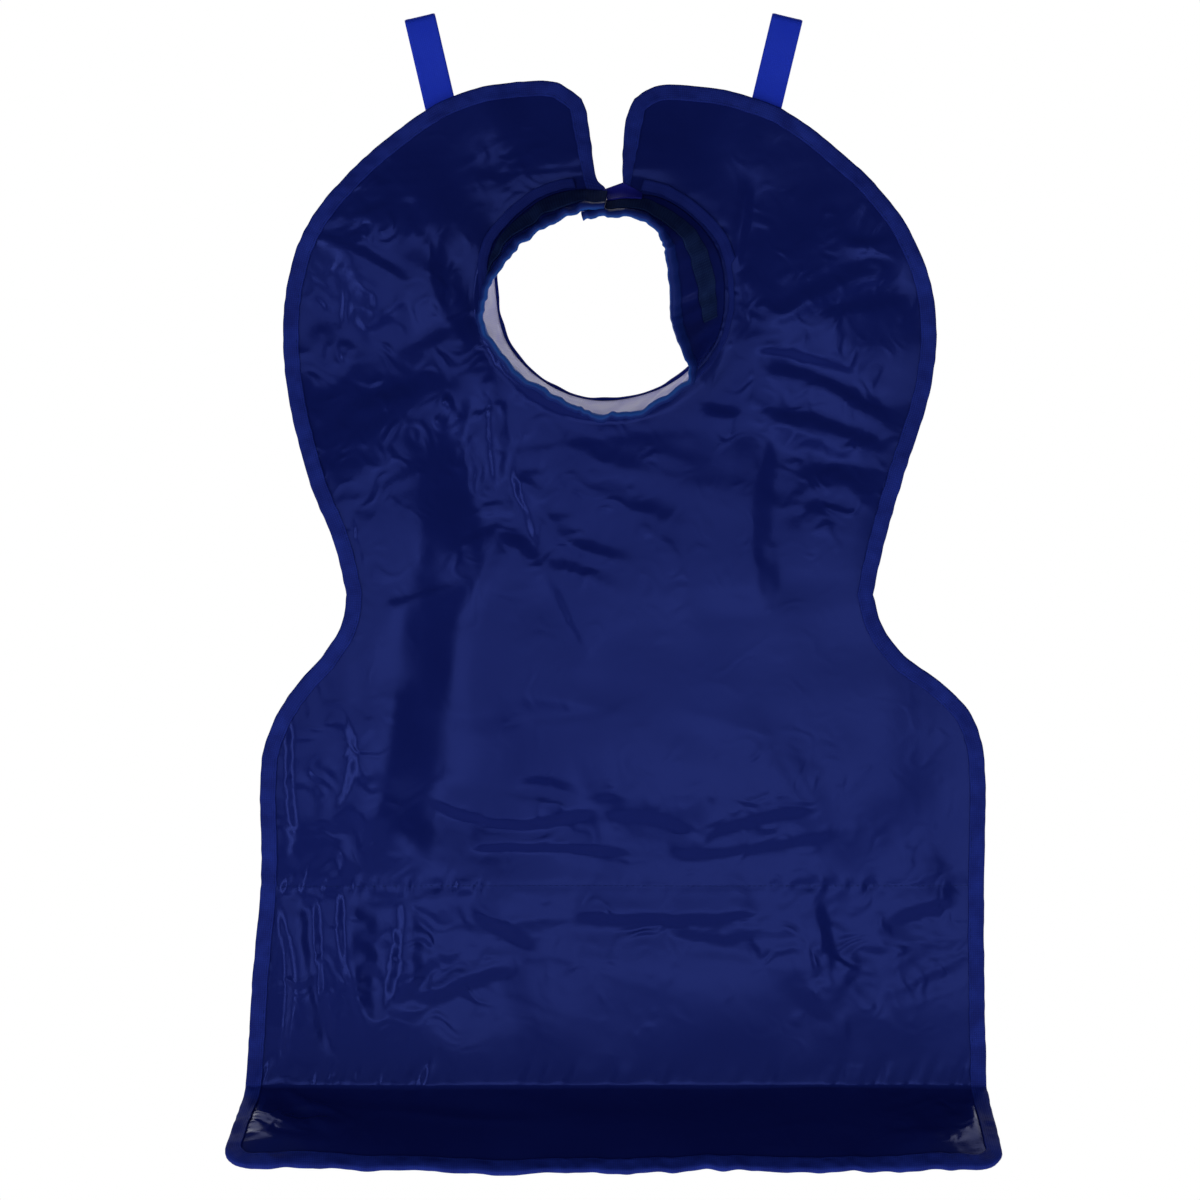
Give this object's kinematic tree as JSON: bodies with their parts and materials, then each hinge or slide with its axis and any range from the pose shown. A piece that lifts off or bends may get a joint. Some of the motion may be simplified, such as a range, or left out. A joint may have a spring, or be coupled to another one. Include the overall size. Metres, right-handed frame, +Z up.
{
  "type": "lead x-ray apron",
  "caption": "Hanging lead x-ray apron of glossy navy vinyl with bound edges, round shoulder lobes, a neck slot, a lined standing collar, webbing hanging loops and a forward hem flap.",
  "frame": {"origin": "on the hanging line, inside the tops of the two webbing loops and midway between them, above the neck slot", "axes": "+X to the right as seen from the front, +Y backwards, +Z up; the front faces -Y"},
  "size_m": [0.6274, 0.1192, 0.9522],
  "materials": {
    "navy_vinyl": "satin gloss",
    "binding_tape": "woven",
    "bright_tape": "woven",
    "white_lining": "woven",
    "loop_strip": "pile",
    "blue_webbing": "woven"
  },
  "bodies": {
    "root": {"apron_panel": "navy_vinyl", "edge_binding": "binding_tape", "collar_band": "navy_vinyl", "collar_lining": "white_lining", "collar_edge_binding": "bright_tape", "neck_seam_tape": "binding_tape", "closure_tab": "binding_tape", "collar_strip_left": "loop_strip", "collar_strip_right": "loop_strip", "hang_loop_left": "blue_webbing", "hang_loop_right": "blue_webbing"}
  },
  "joints": []
}
